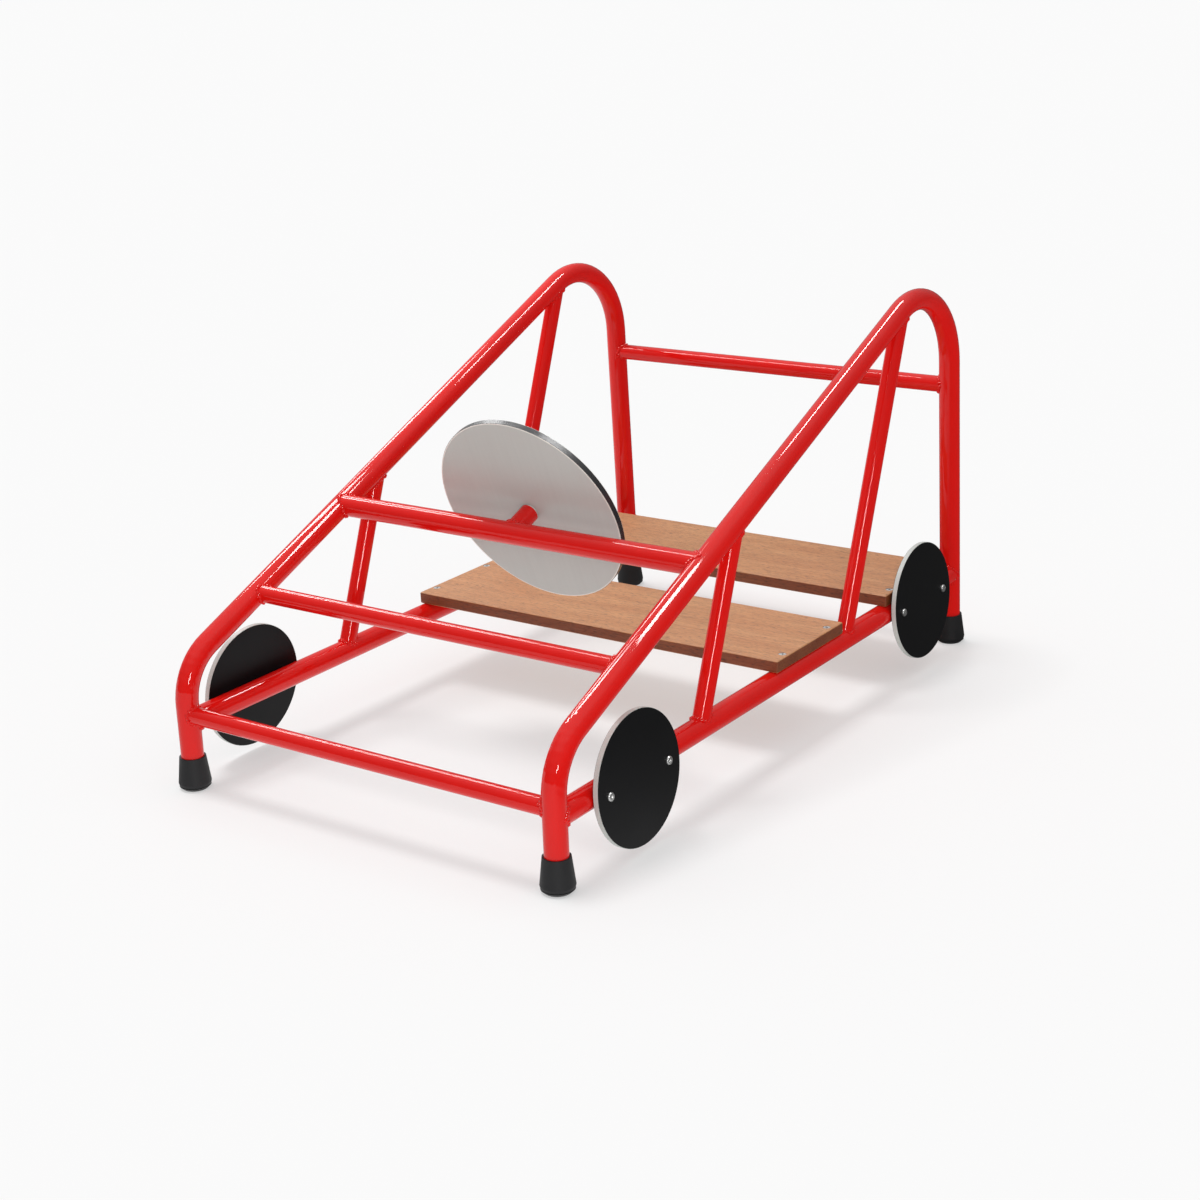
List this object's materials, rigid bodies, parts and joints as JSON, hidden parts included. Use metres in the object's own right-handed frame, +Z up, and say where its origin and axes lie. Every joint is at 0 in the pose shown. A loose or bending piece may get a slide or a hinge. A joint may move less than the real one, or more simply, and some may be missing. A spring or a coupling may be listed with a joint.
{
  "type": "play car climbing frame",
  "caption": "Children's play car of bent steel tube with plank seats, fixed disc wheels, rubber feet and a steering disc that turns.",
  "frame": {"origin": "centre of the bounding box at floor level", "axes": "+X to the driver's left, +Y from the low front to the high rear, +Z up"},
  "size_m": [0.692, 1.1134, 0.5926],
  "materials": {
    "red_tube": "glossy",
    "plank_wood": "oiled satin",
    "wheel_core": "satin",
    "wheel_laminate": "satin",
    "disc_laminate": "satin",
    "disc_core": "satin",
    "foot_rubber": "matte",
    "white_nylon": "satin",
    "bright_fasteners": "brushed",
    "zinc_inserts": "zinc plated"
  },
  "bodies": {
    "frame": {"dash_bar": "red_tube", "ferrule_front_left": "foot_rubber", "ferrule_front_right": "foot_rubber", "ferrule_rear_left": "foot_rubber", "ferrule_rear_right": "foot_rubber", "foot_washers": "zinc_inserts", "front_brace_left": "red_tube", "front_brace_right": "red_tube", "low_front_bar": "red_tube", "low_rear_bar": "red_tube", "low_slope_bar": "red_tube", "plank_front": "plank_wood", "plank_rear": "plank_wood", "plank_rivet_nuts": "zinc_inserts", "plank_screws": "bright_fasteners", "rear_brace_left": "red_tube", "rear_brace_right": "red_tube", "side_hoop_left": "red_tube", "side_hoop_right": "red_tube", "side_rail_left": "red_tube", "side_rail_right": "red_tube", "steering_axle": "bright_fasteners", "steering_plug": "zinc_inserts", "steering_stub": "red_tube", "upper_rear_bar": "red_tube", "wheel_core_front_left": "wheel_core", "wheel_core_front_right": "wheel_core", "wheel_core_rear_left": "wheel_core", "wheel_core_rear_right": "wheel_core", "wheel_faces_front_left": "wheel_laminate", "wheel_faces_front_right": "wheel_laminate", "wheel_faces_rear_left": "wheel_laminate", "wheel_faces_rear_right": "wheel_laminate", "wheel_rivet_nuts": "zinc_inserts", "wheel_screws": "bright_fasteners"},
    "steering_disc": {"steering_bush_front": "white_nylon", "steering_bush_rear": "white_nylon", "steering_core": "disc_core", "steering_face_front": "disc_laminate", "steering_face_rear": "disc_laminate"}
  },
  "joints": [
    {"name": "steering_turn", "type": "hinge", "parent": "frame", "child": "steering_disc", "pos_m": [0, -0.14583, 0.34643], "axis": [0, 0.9219, 0.3875], "continuous": true}
  ]
}
